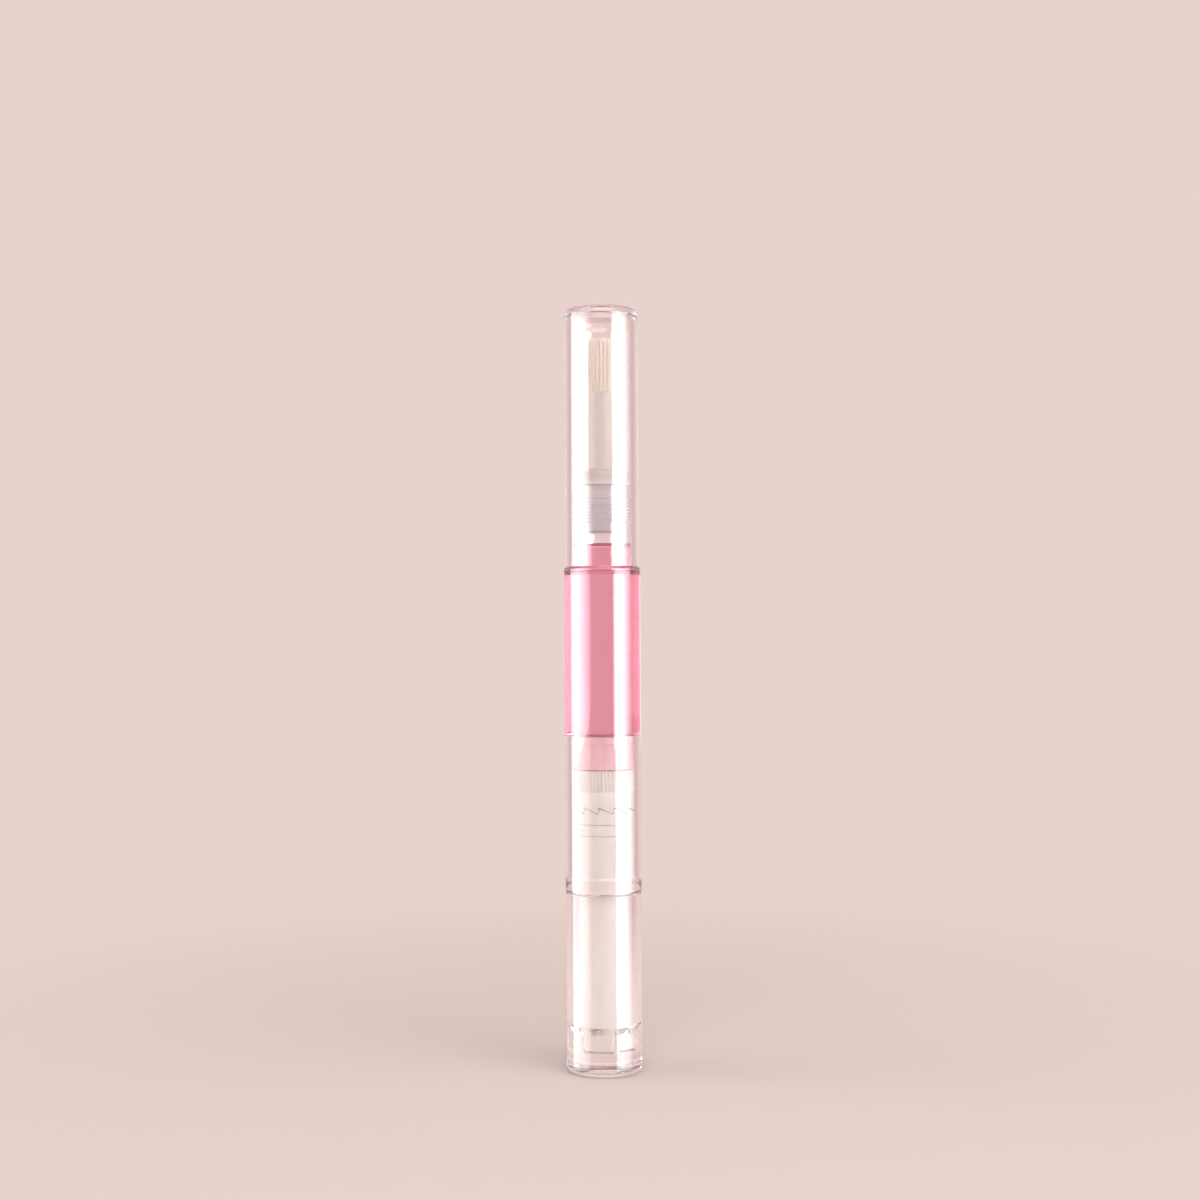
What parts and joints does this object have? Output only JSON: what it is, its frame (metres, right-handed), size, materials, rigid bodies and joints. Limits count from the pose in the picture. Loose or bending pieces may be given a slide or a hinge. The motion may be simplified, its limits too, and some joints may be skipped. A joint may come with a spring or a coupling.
{
  "type": "twist-up cuticle oil pen",
  "caption": "Clear twist-up oil pen: cap over a brush tip, barrel of pink oil, screw-driven piston and a clicking turn knob at the tail.",
  "frame": {"origin": "middle of the knob's flat end, which the pen stands on", "axes": "+Z along the pen towards the cap's end, -Y towards the viewer of the picture, +X to the right of the picture"},
  "size_m": [0.0114, 0.0114, 0.114],
  "materials": {
    "clear_shell": "clear, polished moulding",
    "milky_holder": "translucent, as moulded",
    "milky_core": "translucent milky, as moulded",
    "soft_piston": "soft, waxy",
    "cream_nylon": "fine filaments",
    "pink_oil": "clear liquid"
  },
  "bodies": {
    "barrel": {"barrel": "clear_shell", "nut_sleeve": "milky_core", "oil_fill": "pink_oil", "brush_holder": "milky_holder", "bristles": "cream_nylon"},
    "cap": {"cap": "clear_shell"},
    "knob": {"knob": "clear_shell", "drive_core": "milky_core", "click_ring": "milky_core"},
    "piston": {"piston": "soft_piston"},
    "rod": {"screw_rod": "milky_core"}
  },
  "joints": [
    {"name": "cap_slide", "type": "slide", "parent": "barrel", "child": "cap", "axis": [0, 0, 1], "range_m": [0, 0.04]},
    {"name": "knob_twist", "type": "hinge", "parent": "barrel", "child": "knob", "pos_m": [0, 0, 0], "axis": [0, 0, 1], "range_deg": [0, 4320], "deforming": ["click_ring"]},
    {"name": "piston_slide", "type": "slide", "parent": "barrel", "child": "piston", "axis": [0, 0, 1], "range_m": [0, 0.024], "deforming": ["oil_fill"]},
    {"name": "rod_slide", "type": "slide", "parent": "knob", "child": "rod", "axis": [0, 0, 1], "range_m": [0, 0.024]}
  ],
  "couplings": [
    {"joint": "piston_slide", "follows": "knob_twist", "m_per_rad": 0.00031831},
    {"joint": "rod_slide", "follows": "knob_twist", "m_per_rad": 0.00031831}
  ]
}
